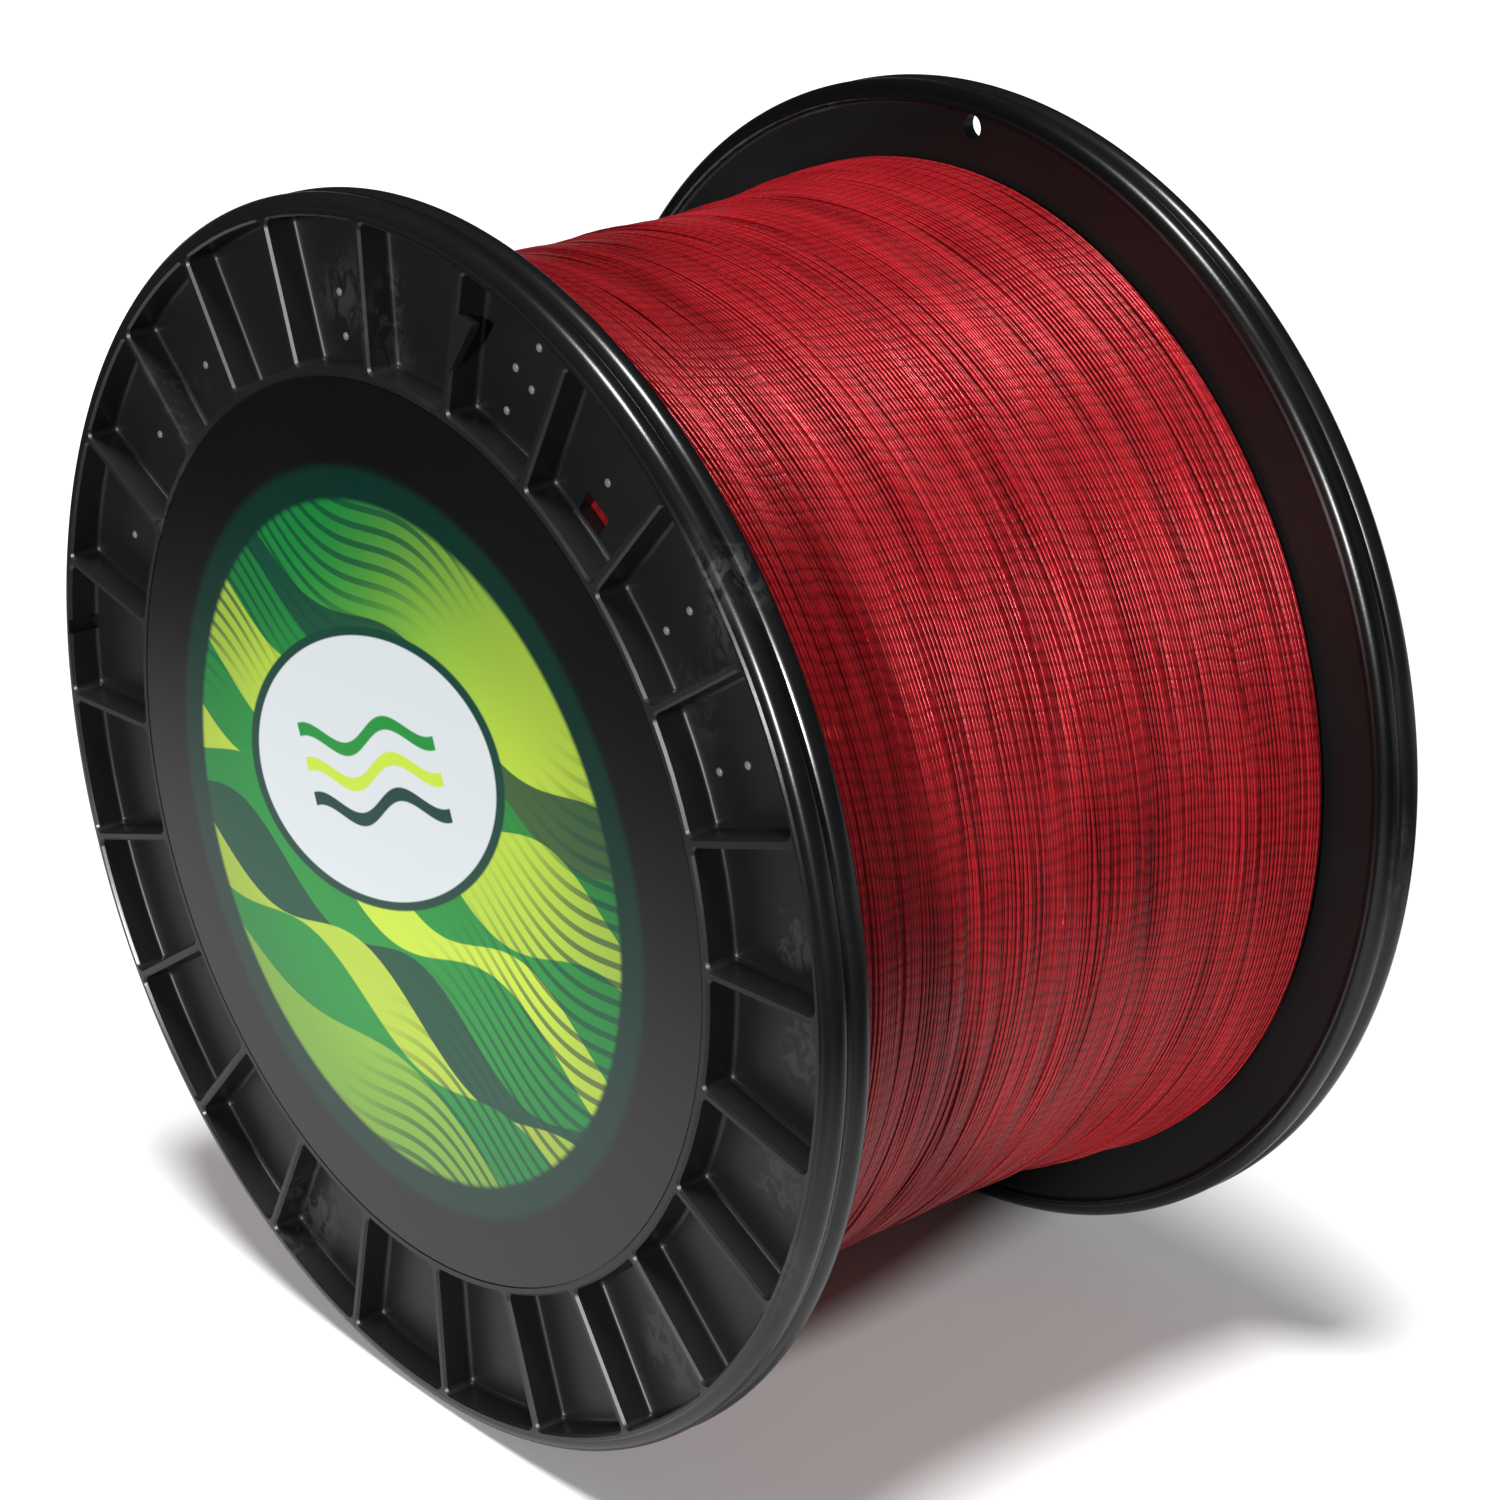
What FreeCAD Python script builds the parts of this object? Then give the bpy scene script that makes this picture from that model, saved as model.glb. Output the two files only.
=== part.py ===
import FreeCAD, Part
import math
import os
from FreeCAD import Vector

# Bulk spool of fishing line, lying on the rims of its two flanges.
# The axis is Y, the label faces -Y, +Z is up and the origin is the spool's centre.
# All sizes are in millimetres and all angles in degrees.

# Overall sizes
flange_diameter = 127.0
overall_width = 77.8
hub_diameter = 94.0
wound_diameter = 107.8

# Flange moulding
pocket_depth = 3.4
web_thickness = 1.4
rim_lip = 0.8
bead_radius = 1.3
rim_shoulder = 0.2
rim_land = 0.8
groove_width = 0.5
lip_fillet = 0.4
lip_round = 0.25
hub_wall = 1.8
hub_plate = 2.0
edge_chamfer = 0.25
pocket_corner = 0.7
floor_fillet = 0.5

# Ribs between the hub and the rim
rib_count = 24
rib_thickness = 1.0
rib_turn = 3.5

# Label seat and label
label_lip = 0.8
label_gap = 0.15
label_seat_depth = 0.2
label_thickness = 0.15

# Places for the line's ends, each counted in pockets or ribs from the first rib
start_slot_pocket = 3
start_slot_length = 3.5
start_slot_width = 2.5
start_slot_offset = 0.3
rim_hole_pocket = 1
rim_hole_diameter = 2.6
rim_hole_edge = 0.2
tail_notch_pocket = 11
tail_notch_width = 1.7
tail_notch_depth = 1.2
hook_rib = 5
hook_reach = 2.3
hook_length = 6.6
hook_thickness = 1.0
hook_edge = 4.2
rear_flange_turn = -66.0

# Stiffening ribs inside the hub plates
plate_rib_count = 8
plate_rib_thickness = 1.2
plate_rib_height = 2.4

# Arbor tube for the spindle
bore_diameter = 16.0
arbor_wall = 2.5
plate_hole_gap = 0.4
plate_hole_chamfer = 0.4
arbor_socket_wall = 2.0
arbor_socket_depth = 3.6

# Barrel tube that the line is wound on
barrel_wall = 2.4
socket_gap = 0.1
seat_gap = 0.05

# Wound line: a plain pack and one layer of turns over it
turn_count = 24
turn_gap = 0.5
turn_edge_gap = 0.3
turn_seat_gap = 0.05
pack_gap = 0.05
dive_bend = 1.2
dive_slot_gap = 0.2
turns_start_angle = 180.0

# How far a cutting shape starts and ends past the solid
overcut = 1.0

# How near two places count as the same one
same_place = 1e-4

# Most of a bead's radius that the groove between the beads may take
groove_share = 0.97

# Pieces per turn of the outer turns' path, and the spacing of the gap check along it
arcs_per_turn = 4
check_step = 3
check_reach = 4

# Worked out from the sizes above
flange_radius = flange_diameter / 2
hub_radius = hub_diameter / 2
wound_radius = wound_diameter / 2
bore_radius = bore_diameter / 2
half_width = overall_width / 2
web_inner = pocket_depth + web_thickness
rim_width = web_inner + rim_lip
rim_inner_radius = flange_radius - bead_radius - rim_land
socket_radius = hub_radius - hub_wall
barrel_outer = socket_radius - socket_gap
barrel_inner = barrel_outer - barrel_wall
plate_inner = label_seat_depth + hub_plate
barrel_half_length = half_width - plate_inner - seat_gap
arbor_outer = bore_radius + arbor_wall
arbor_socket_radius = arbor_outer + socket_gap
rib_pitch = 360.0 / rib_count
traverse = overall_width - 2 * web_inner
turn_pitch = (traverse - 2 * turn_edge_gap + turn_gap) / (turn_count + 1)
turn_diameter = turn_pitch - turn_gap
turn_radius = turn_diameter / 2
turns_path_radius = wound_radius - turn_radius
pack_outer = wound_radius - turn_diameter - turn_seat_gap
dive_radius = dive_bend * turn_diameter

Y_AXIS = Vector(0, 1, 0)
Z_AXIS = Vector(0, 0, 1)
ORIGIN = Vector(0, 0, 0)


def polar(radius, angle, y):
    """Point at a radius and an angle round the spool's axis, seen from the front."""
    turn = math.radians(angle)
    return Vector(radius * math.cos(turn), y, radius * math.sin(turn))


def revolve(edges):
    """Solid of a closed profile whose X is the radius and Y the place along the axis."""
    return Part.Face(Part.Wire(edges)).revolve(ORIGIN, Y_AXIS, 360)


def line(a, b):
    """Straight edge of a profile."""
    return Part.LineSegment(Vector(a[0], a[1], 0), Vector(b[0], b[1], 0)).toShape()


def arc(centre, radius, start, end):
    """Arc in the profile's plane, from one direction to another about its centre."""
    points = []
    for angle in (start, (start + end) / 2, end):
        turn = math.radians(angle)
        points.append(Vector(centre[0] + radius * math.cos(turn), centre[1] + radius * math.sin(turn), 0))
    return Part.Arc(*points).toShape()


def polyline(points):
    """Straight edges of a profile through the points in order."""
    return [line(a, b) for a, b in zip(points, points[1:])]


def ring(inner, outer, y0, y1):
    """Plain tube along the axis."""
    size = y1 - y0
    outside = Part.makeCylinder(outer, size, Vector(0, y0, 0), Y_AXIS)
    return outside.cut(Part.makeCylinder(inner, size, Vector(0, y0, 0), Y_AXIS))


# Flange: outer face at y = 0, inner side towards +y

def flange_profile():
    """Closed profile of the flange before its pockets are cut."""
    bead_centre = flange_radius - bead_radius
    front_bead = rim_shoulder + bead_radius
    rear_bead = rim_width - front_bead
    half_chord = min((rear_bead - front_bead - groove_width) / 2, groove_share * bead_radius)
    rise = math.degrees(math.asin(half_chord / bead_radius))
    groove_radius = bead_centre + bead_radius * math.cos(math.radians(rise))
    hole = bore_radius + plate_hole_gap
    socket_outer = arbor_socket_radius + arbor_socket_wall
    socket_end = plate_inner + arbor_socket_depth
    seat_radius = hub_radius - label_lip
    edges = polyline([
        (hole + plate_hole_chamfer, label_seat_depth),
        (seat_radius, label_seat_depth),
        (seat_radius, 0),
        (bead_centre - rim_shoulder, 0),
        (bead_centre, rim_shoulder),
    ])
    edges.append(arc((bead_centre, front_bead), bead_radius, -90, rise))
    edges.append(line((groove_radius, front_bead + half_chord), (groove_radius, rear_bead - half_chord)))
    edges.append(arc((bead_centre, rear_bead), bead_radius, -rise, 90))
    edges += polyline([
        (bead_centre, rim_width - rim_shoulder),
        (bead_centre - rim_shoulder, rim_width),
        (rim_inner_radius + lip_round, rim_width),
    ])
    edges.append(arc((rim_inner_radius + lip_round, rim_width - lip_round), lip_round, 90, 180))
    edges.append(line((rim_inner_radius, rim_width - lip_round), (rim_inner_radius, web_inner + lip_fillet)))
    edges.append(arc((rim_inner_radius - lip_fillet, web_inner + lip_fillet), lip_fillet, 0, -90))
    edges += polyline([
        (rim_inner_radius - lip_fillet, web_inner),
        (socket_radius, web_inner),
        (socket_radius, plate_inner),
        (socket_outer, plate_inner),
        (socket_outer, socket_end),
        (arbor_socket_radius, socket_end),
        (arbor_socket_radius, plate_inner),
        (hole, plate_inner),
        (hole, label_seat_depth + plate_hole_chamfer),
        (hole + plate_hole_chamfer, label_seat_depth),
    ])
    return edges


def pocket_outline(y):
    """Wire of one pocket, between the ribs at angle 0 and one pitch, with round corners."""
    corners = []
    for radius, side in ((hub_radius, 0), (rim_inner_radius, 0), (rim_inner_radius, 1), (hub_radius, 1)):
        lean = math.degrees(math.asin(rib_thickness / 2 / radius))
        angle = lean if side == 0 else rib_pitch - lean
        corners.append(polar(radius, angle, y))
    middle = rib_pitch / 2
    edges = [
        Part.LineSegment(corners[0], corners[1]).toShape(),
        Part.Arc(corners[1], polar(rim_inner_radius, middle, y), corners[2]).toShape(),
        Part.LineSegment(corners[2], corners[3]).toShape(),
        Part.Arc(corners[3], polar(hub_radius, middle, y), corners[0]).toShape(),
    ]
    return Part.Wire(edges)


def along_axis(edge):
    """True for a straight edge that runs along the spool's axis."""
    ends = [v.Point for v in edge.Vertexes]
    return len(ends) == 2 and math.hypot(ends[1].x - ends[0].x, ends[1].z - ends[0].z) < same_place


def in_plane(edge, y):
    """True for an edge that lies flat at one place along the axis."""
    return all(abs(v.Point.y - y) < same_place for v in edge.Vertexes)


def pocket_cutter():
    """Solid of one pocket, with its floor fillet and the chamfer round its mouth."""
    block = Part.Face(pocket_outline(-overcut)).extrude(Vector(0, overcut + pocket_depth, 0))
    block = block.makeFillet(pocket_corner, [e for e in block.Edges if along_axis(e)])
    mouth = Part.Wire(Part.__sortEdges__([e for e in block.Edges if in_plane(e, -overcut)]))
    block = block.makeFillet(floor_fillet, [e for e in block.Edges if in_plane(e, pocket_depth)])
    low = mouth.copy()
    low.translate(Vector(0, overcut + edge_chamfer, 0))
    high = mouth.makeOffset2D(overcut + edge_chamfer)
    flare = Part.makeLoft([low, high], True, True)
    return block.fuse(flare)


def turned(shape, angle):
    """Copy of a shape turned about the axis, anticlockwise seen from the front."""
    copy = shape.copy()
    copy.rotate(ORIGIN, Y_AXIS, -angle)
    return copy


def rib_angle(index):
    return rib_turn + rib_pitch * index


def pocket_angle(index):
    return rib_angle(index + 0.5)


def block_at(angle, r0, r1, width, y0, y1):
    """Box along the radius at an angle, used to cut a slot or a notch."""
    box = Part.makeBox(r1 - r0, y1 - y0, width, Vector(r0, y0, -width / 2))
    return turned(box, angle)


def line_hook():
    """Tongue on the side of a rib, level with the flange's face, that holds the line's end."""
    tip = rim_inner_radius - hook_edge
    side = -rib_thickness / 2 - hook_reach
    points = [
        Vector(tip - hook_length, 0, 0),
        Vector(tip, 0, 0),
        Vector(tip, 0, side),
    ]
    wire = Part.makePolygon(points + points[:1])
    return turned(Part.Face(wire).extrude(Vector(0, hook_thickness, 0)), rib_angle(hook_rib))


def plate_ribs():
    """Stiffening ribs on the inside of the hub plate, from the arbor's socket to the barrel."""
    start = arbor_socket_radius + arbor_socket_wall / 2
    end = barrel_inner - seat_gap
    return [
        block_at(360.0 * k / plate_rib_count, start, end, plate_rib_thickness,
                 plate_inner - hub_plate / 2, plate_inner + plate_rib_height)
        for k in range(plate_rib_count)
    ]


def flange():
    """One flange moulding, with its outer face at y = 0."""
    body = revolve(flange_profile())
    cutter = pocket_cutter()
    body = body.cut([turned(cutter, rib_angle(k)) for k in range(rib_count)])
    body = body.fuse(plate_ribs() + [line_hook()])
    low = pocket_depth - overcut
    high = web_inner + overcut
    slot_start = hub_radius + start_slot_offset
    slot = block_at(pocket_angle(start_slot_pocket), slot_start, slot_start + start_slot_width,
                    start_slot_length, low, high)
    hole_centre = rim_inner_radius - rim_hole_diameter / 2 - rim_hole_edge
    hole = Part.makeCylinder(rim_hole_diameter / 2, high - low, Vector(hole_centre, low, 0), Y_AXIS)
    hole = turned(hole, pocket_angle(rim_hole_pocket))
    notch = block_at(pocket_angle(tail_notch_pocket), rim_inner_radius - overcut,
                     rim_inner_radius + tail_notch_depth, tail_notch_width, -overcut, pocket_depth)
    return body.cut([slot, hole, notch]).removeSplitter()


def front_flange():
    """The moulding with its outer face at the front."""
    body = flange()
    body.translate(Vector(0, -half_width, 0))
    return body


def rear_flange():
    """The same moulding turned to face the other way."""
    body = flange()
    body.rotate(ORIGIN, Z_AXIS, 180)
    body.translate(Vector(0, half_width, 0))
    return turned(body, rear_flange_turn)


# Tubes between the hub plates

def barrel_tube():
    """Tube under the winding, plugged into both hub walls."""
    return ring(barrel_inner, barrel_outer, -barrel_half_length, barrel_half_length)


def arbor_tube():
    """Tube for the spindle, held by a socket on each hub plate."""
    return ring(bore_radius, arbor_outer, -barrel_half_length, barrel_half_length)


def front_label():
    """Printed disc in the front hub's shallow seat."""
    outside = -half_width + label_seat_depth - label_thickness
    return Part.makeCylinder(hub_radius - label_lip - label_gap, label_thickness,
                             Vector(0, outside, 0), Y_AXIS)


# Wound line

def helix_frame(angle):
    """Point, tangent and inward direction of the outer turns, from their first angle."""
    start = -(traverse / 2 - turn_edge_gap - turn_radius)
    point = polar(turns_path_radius, turns_start_angle + angle, start + turn_pitch * angle / 360.0)
    inward = polar(-1.0, turns_start_angle + angle, 0)
    across = polar(1.0, turns_start_angle + angle + 90, 0)
    climb = turn_pitch / (2 * math.pi * turns_path_radius)
    return point, (across + Y_AXIS * climb).normalize(), inward


def tangent_arc(a, corner, b):
    """Arc from a to b whose tangents meet at a corner equally far from both."""
    middle = (a + b) * 0.5
    down = middle - corner
    reach = (a - corner).Length
    centre = corner + down * (reach * reach / down.Length / down.Length)
    radius = (a - centre).Length
    top = centre + (corner - centre).normalize() * radius
    return Part.Arc(a, top, b).toShape(), radius


def biarc(p0, t0, p1, t1):
    """Two arcs that join two points with given tangents."""
    v = p1 - p0
    t = t0 + t1
    a = 2 * (1 - t0.dot(t1))
    b = 2 * v.dot(t)
    c = -v.dot(v)
    if abs(a) < same_place ** 2:
        reach = -c / b
    else:
        reach = (-b + math.sqrt(b * b - 4 * a * c)) / (2 * a)
    q0 = p0 + t0 * reach
    q1 = p1 - t1 * reach
    joint = (q0 + q1) * 0.5
    first, r0 = tangent_arc(p0, q0, joint)
    second, r1 = tangent_arc(joint, q1, p1)
    return [first, second], min(r0, r1)


def dive(point, ahead, inward):
    """Bend and straight end that lead the line down into the pack below it."""
    centre = point + inward * dive_radius
    diagonal = (ahead - inward).normalize() * dive_radius
    low = centre + ahead * dive_radius
    end = low + inward * turn_diameter
    bend = Part.Arc(point, centre + diagonal, low).toShape()
    return bend, Part.LineSegment(low, end).toShape(), end


def outer_turns_path():
    """Edges of the outer turns in order, and the tightest radius among them."""
    edges = []
    tightest = dive_radius
    bend, straight, _ = dive(*dive_start())
    edges += [straight, bend]
    step = 360.0 / arcs_per_turn
    for k in range(arcs_per_turn * turn_count):
        p0, t0, _ = helix_frame(step * k)
        p1, t1, _ = helix_frame(step * (k + 1))
        arcs, radius = biarc(p0, t0, p1, t1)
        edges += arcs
        tightest = min(tightest, radius)
    bend, straight, _ = dive(*dive_end())
    return edges + [bend, straight], tightest


def least_gap(edges):
    """Least distance between turns, less the line's diameter, on points along the path."""
    points = []
    for edge in edges[2:-2]:
        points += edge.discretize(check_reach + 1)[:-1]
    per_turn = len(points) // turn_count
    nearest = traverse
    for k in range(0, len(points) - per_turn - check_reach, check_step):
        for other in range(k + per_turn - check_reach, k + per_turn + check_reach + 1):
            nearest = min(nearest, points[k].distanceToPoint(points[other]))
    return nearest - turn_diameter


def line_outer_turns():
    """One unbroken tube wound over the pack, with both ends led down into it."""
    edges, tightest = outer_turns_path()
    path = Part.Wire(edges)
    _, _, end = dive(*dive_start())
    inward = dive_start()[2]
    circle = Part.Wire(Part.Circle(end, inward, turn_radius).toShape())
    tube = path.makePipeShell([circle], True, False)
    expected = math.pi * turn_radius ** 2 * path.Length
    print("outer turns: length", round(path.Length), "tightest radius", round(tightest, 2),
          "least gap", round(least_gap(edges), 3), "volume share", round(tube.Volume / expected, 4))
    return tube


def dive_start():
    """Point, way on and inward direction where the first turn dives."""
    point, ahead, inward = helix_frame(0)
    return point, ahead * -1, inward


def dive_end():
    """Point, way on and inward direction where the last turn dives."""
    return helix_frame(360 * turn_count)


def dive_slot(point, ahead, inward):
    """Slot in the pack that the line's end dives into, with a flat floor."""
    across = ahead.cross(inward).normalize()
    long = dive_radius + turn_radius + 2 * dive_slot_gap
    wide = turn_diameter + 2 * dive_slot_gap
    deep = dive_radius + turn_diameter
    corner = point - ahead * dive_slot_gap - across * (wide / 2) - inward * turn_radius
    face = Part.Face(Part.makePolygon([
        corner,
        corner + ahead * long,
        corner + ahead * long + across * wide,
        corner + across * wide,
        corner,
    ]))
    return face.extrude(inward * (deep + turn_radius))


def line_pack():
    """Plain body of the wound line under the outer turns."""
    reach = traverse / 2 - pack_gap
    body = ring(barrel_outer + pack_gap, pack_outer, -reach, reach)
    return body.cut([dive_slot(*dive_start()), dive_slot(*dive_end())])


PIECES = {
    "front_flange": front_flange,
    "rear_flange": rear_flange,
    "barrel_tube": barrel_tube,
    "arbor_tube": arbor_tube,
    "front_label": front_label,
    "line_pack": line_pack,
    "line_outer_turns": line_outer_turns,
}


def main():
    os.makedirs("parts", exist_ok=True)
    for name, make in PIECES.items():
        shape = make()
        solids = shape.Solids
        if len(solids) == 1:
            shape = solids[0]
        print(name, "solids", len(solids), "valid", shape.isValid(), "volume", round(shape.Volume, 1))
        shape.exportStep("parts/" + name + ".step")


main()
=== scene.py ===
"""Bulk spool of braided fishing line: its finishes and fine winding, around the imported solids."""
import math

import bpy
import numpy as np
from mathutils import Matrix, Vector


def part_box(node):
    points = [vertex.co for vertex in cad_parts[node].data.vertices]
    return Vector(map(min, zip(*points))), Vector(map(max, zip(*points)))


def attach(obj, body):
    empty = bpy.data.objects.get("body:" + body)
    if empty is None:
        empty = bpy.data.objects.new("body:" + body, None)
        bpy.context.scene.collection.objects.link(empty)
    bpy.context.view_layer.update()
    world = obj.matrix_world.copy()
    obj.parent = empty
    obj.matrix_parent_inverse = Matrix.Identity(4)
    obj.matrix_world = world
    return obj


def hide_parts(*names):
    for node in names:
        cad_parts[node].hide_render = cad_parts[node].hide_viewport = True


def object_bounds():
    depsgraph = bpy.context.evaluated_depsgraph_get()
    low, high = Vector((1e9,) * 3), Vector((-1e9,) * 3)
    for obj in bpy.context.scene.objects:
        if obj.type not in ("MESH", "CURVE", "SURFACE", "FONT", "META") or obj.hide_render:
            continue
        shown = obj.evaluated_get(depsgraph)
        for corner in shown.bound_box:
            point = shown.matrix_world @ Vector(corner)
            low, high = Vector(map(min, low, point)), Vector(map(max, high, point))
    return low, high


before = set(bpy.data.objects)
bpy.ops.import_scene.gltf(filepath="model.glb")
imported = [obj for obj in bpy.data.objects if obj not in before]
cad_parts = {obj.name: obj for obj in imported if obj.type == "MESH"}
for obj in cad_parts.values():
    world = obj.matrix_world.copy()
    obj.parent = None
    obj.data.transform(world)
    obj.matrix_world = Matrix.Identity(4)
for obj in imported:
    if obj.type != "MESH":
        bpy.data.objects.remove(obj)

bl_info = {
    "name": "Fishing Line Spool",
    "version": (1, 0, 0),
    "blender": (4, 5, 0),
    "location": "3D View > Sidebar > Spool",
    "description": "Dresses a bulk spool of braided fishing line",
    "category": "Object",
}

MM = 0.001
CAD_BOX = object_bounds()

# Places that the solids give
FLANGE_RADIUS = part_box("front_flange")[1].x
HALF_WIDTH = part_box("rear_flange")[1].y
WOUND_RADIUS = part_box("line_outer_turns")[1].z
PACK_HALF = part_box("line_pack")[1].y
BARREL_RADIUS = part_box("barrel_tube")[1].z

# Sizes of the flange moulding that the beads, the pips and the finishes follow
POCKET_DEPTH = 3.4 * MM
WEB_INNER = 4.8 * MM
HUB_RADIUS = 47.0 * MM
RIM_INNER_RADIUS = 61.4 * MM
RIM_WIDTH = 5.6 * MM
BEAD_RADIUS = 1.3 * MM
BEAD_SHOULDER = 0.2 * MM
GROOVE_WIDTH = 0.5 * MM

# Turns in degrees: of the first rib, from rib to rib, and of the whole rear flange
RIB_TURN = 3.5
RIB_PITCH = 15.0
REAR_TURN = -66.0

# Skin of beads on a rim: how proud it is, how far its inner wall and its sides lie in, its steps
BEAD_PROUD = 0.006 * MM
BEAD_WALL = 0.05 * MM
BEAD_SIDE = 0.26 * MM
BEAD_STEPS = 24
RIM_STEPS = 540

# Ejector pips: the pocket, counted from the first rib, the radius and the offset from the middle,
# in mm
PIPS = (
    (1, 53.6, -0.8), (1, 49.3, -0.8),
    (2, 53.6, -0.3), (2, 49.3, -0.3),
    (3, 52.7, 0.2),
    (4, 57.5, -1.0), (4, 53.8, 1.5), (4, 53.1, -1.2), (4, 49.1, 1.5),
    (6, 53.6, 1.5), (6, 49.3, 1.5),
    (8, 53.4, 1.6),
    (9, 54.5, 1.2), (9, 49.7, -1.7),
    (10, 54.8, 1.2),
)

# Scuffed places on the front flange: X, Z and reach, in mm, and the share of it that is scuffed all
# over. Then fainter patches anywhere, and the streaks of noise that show in both.
SCUFFS = ((57.0, -2.8, 5.0), (52.8, -16.8, 4.4), (54.6, 8.2, 3.4), (38.0, -41.0, 6.0))
SCUFF_CORE = 0.6
PATCH_RANGE = (0.6, 0.74)
PATCH_SHARE = 0.3
STREAK_RANGE = (0.45, 0.56)

# How softly the plastic's finishes change at the pocket floors, the web's inner face, which has
# painted shade, and the rim's inner wall
FLOOR_SOFT = 0.08 * MM
POCKET_SOFT = 0.1 * MM
INSIDE_SOFT = (0.4 * MM, 0.1 * MM)
RIM_SOFT = (0.2 * MM, 0.4 * MM)

# Fineness of the noise in the finishes, in cells per metre, or along X, Y and Z
PLASTIC_GRAIN = 2600.0
PLASTIC_CLOUD = 70.0
PLASTIC_PATCH = 38.0
PLASTIC_STREAK = (520.0, 520.0, 400.0)
PIP_NOISE_SCALE = 1400.0
TUBE_RINGS = (20.0, 1500.0, 20.0)
TUBE_CLOUD = 90.0
LINE_DRIFT = 150.0
LINE_FIBRES = (2600.0, 5200.0, 2600.0)
LINE_DYE = (50.0, 330.0, 50.0)
FILM_TONE = 30.0
FILM_GLOSS = 60.0
FILM_RIPPLE = 160.0
FILM_GRAIN = 900.0

# Refractive index of each surface
PLASTIC_IOR = 1.48
PIP_IOR = 1.5
LINE_IOR = 1.45
FILM_IOR = 1.5

# Fine relief of each surface: its strength and its height
PLASTIC_RELIEF = (0.35, 0.03 * MM)
PIP_RELIEF = (0.3, 0.02 * MM)
TUBE_RELIEF = (0.3, 0.03 * MM)
LINE_RELIEF = (0.38, 0.06 * MM)
FILM_RELIEF = (0.2, 0.05 * MM)

# Plait of the line: its waves round the spool, how far noise and the place along the spool shift
# them, and how far they slant over the line's width
PLAIT_ROUND = 236.0
PLAIT_DRIFT = 15.0
PLAIT_ALONG = 700.0
PLAIT_SLANT = 1.3

# The label's print: its centre, the radii of its picture and of the dark ring, and its sharpness
PRINT_X = -0.5 * MM
PRINT_Z = -1.0 * MM
PICTURE_RADIUS = 35.1 * MM
RING_RADIUS = 38.4 * MM
RING_SHADE = 0.55
PRINT_EDGE = 0.1 * MM

# Darker margin of the picture: the radii where it starts and ends, and its share
MARGIN_RANGE = (20.0 * MM, 35.0 * MM)
MARGIN_SHARE = 0.3

# Ground of the picture, from green to lime: its slope over X and Z, how far noise shifts it, and
# where it is green and where lime
GROUND_SLOPE = (0.8, -0.45)
GROUND_DRIFT = 12.0 * MM
GROUND_RANGE = (-20.0 * MM, 28.0 * MM)

# Waves of the print from the top down: height and swing in mm, waves in radians per metre, phase,
# colour and share. They fall to the right by the slope.
WAVES = (
    (21.0, 2.2, 190.0, 1.2, "teal", 0.9),
    (16.5, 2.6, 175.0, 0.4, "green", 0.8),
    (12.0, 2.4, 210.0, 2.6, "lime", 0.8),
    (3.0, 3.2, 170.0, 2.1, "green", 1.0),
    (-3.0, 2.8, 190.0, 3.9, "lime", 1.0),
    (-8.0, 3.4, 160.0, 5.2, "green", 1.0),
    (-13.5, 2.6, 200.0, 0.9, "teal", 0.9),
    (-17.5, 2.8, 175.0, 2.7, "lime", 0.8),
    (-21.0, 2.2, 185.0, 4.4, "green", 1.0),
    (-26.0, 2.2, 150.0, 1.4, "lime", 0.45),
)
WAVE_SLOPE = 0.25

# Fine lines over two corners of the picture: the swing, waves, phase and slope of the curve that
# they follow, and their number, in radians per metre like the waves
FINE_SWING = 2.8 * MM
FINE_WAVES = 165.0
FINE_PHASE = 0.6
FINE_SLOPE = 0.35
FINE_COUNT = 3300.0

# Their corners, each by its slope over X and Z and the range in mm where it fades in, then the part
# of each wave that is a line, and the lines' share
FINE_CORNERS = ((0.8, -0.6, 6.0, 24.0), (-0.5, 1.0, 20.0, 32.0))
FINE_RANGE = (0.25, 0.6)
FINE_SHARE = 0.75

# Pale oval of the print: its centre, half its length and width, and the cosine and sine of its
# tilt. Its dark edge and its paper end between these shares of its size.
OVAL_X = -4.0 * MM
OVAL_Z = 7.0 * MM
OVAL_HALF = (21.0 * MM, 13.5 * MM)
OVAL_TILT = (0.94, 0.34)
OVAL_EDGE = (1.08, 1.06)
OVAL_PAPER = (1.01, 0.995)

# Wavy strokes on the oval: height in mm and colour, then their shape
STROKES = ((3.4, "green"), (-0.2, "lime"), (-3.8, "teal"))
STROKE_WAVES = 420.0
STROKE_SWING = 1.2 * MM
STROKE_HALF_WIDTH = 0.7 * MM
STROKE_HALF_LENGTH = 12.0 * MM

# Unevenness of the winding, in layers of noise: the seed after the line's own, the cell along the
# spool and the number of cells round it
WINDING_NOISE = {
    "broad": (0, 5.2 * MM, 9),
    "ridges": (1, 1.9 * MM, 14),
    "fine": (5, 0.75 * MM, 19),
    "lean": (2, 9.0 * MM, 5),
    "wander": (3, 2.4 * MM, 13),
    "single": (4, 0.42 * MM, 19),
    "cover": (6, 4.0 * MM, 8),
}

# How far the winding lies below its full radius, and how far each noise lifts it
MEAN_SINK = 0.36 * MM
BROAD_LIFT = 0.15 * MM
RIDGE_LIFT = 0.12 * MM
FINE_LIFT = 0.07 * MM

# How far single turns lie deeper, which of them are deep ones, and how far turns lean and wander
SINGLE_SINK = 0.06 * MM
DEEP_FROM = 0.5
DEEP_SINK = 0.28 * MM
LEAN = 2.2 * MM
WANDER = 0.35 * MM

# Where the line darkens: the distance to the places beside it, the depth of a full groove between
# them, and the share of single turns
GROOVE_REACH = 0.8 * MM
GROOVE_DEPTH = 0.3 * MM
GROOVE_SINGLE = 0.35

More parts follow.
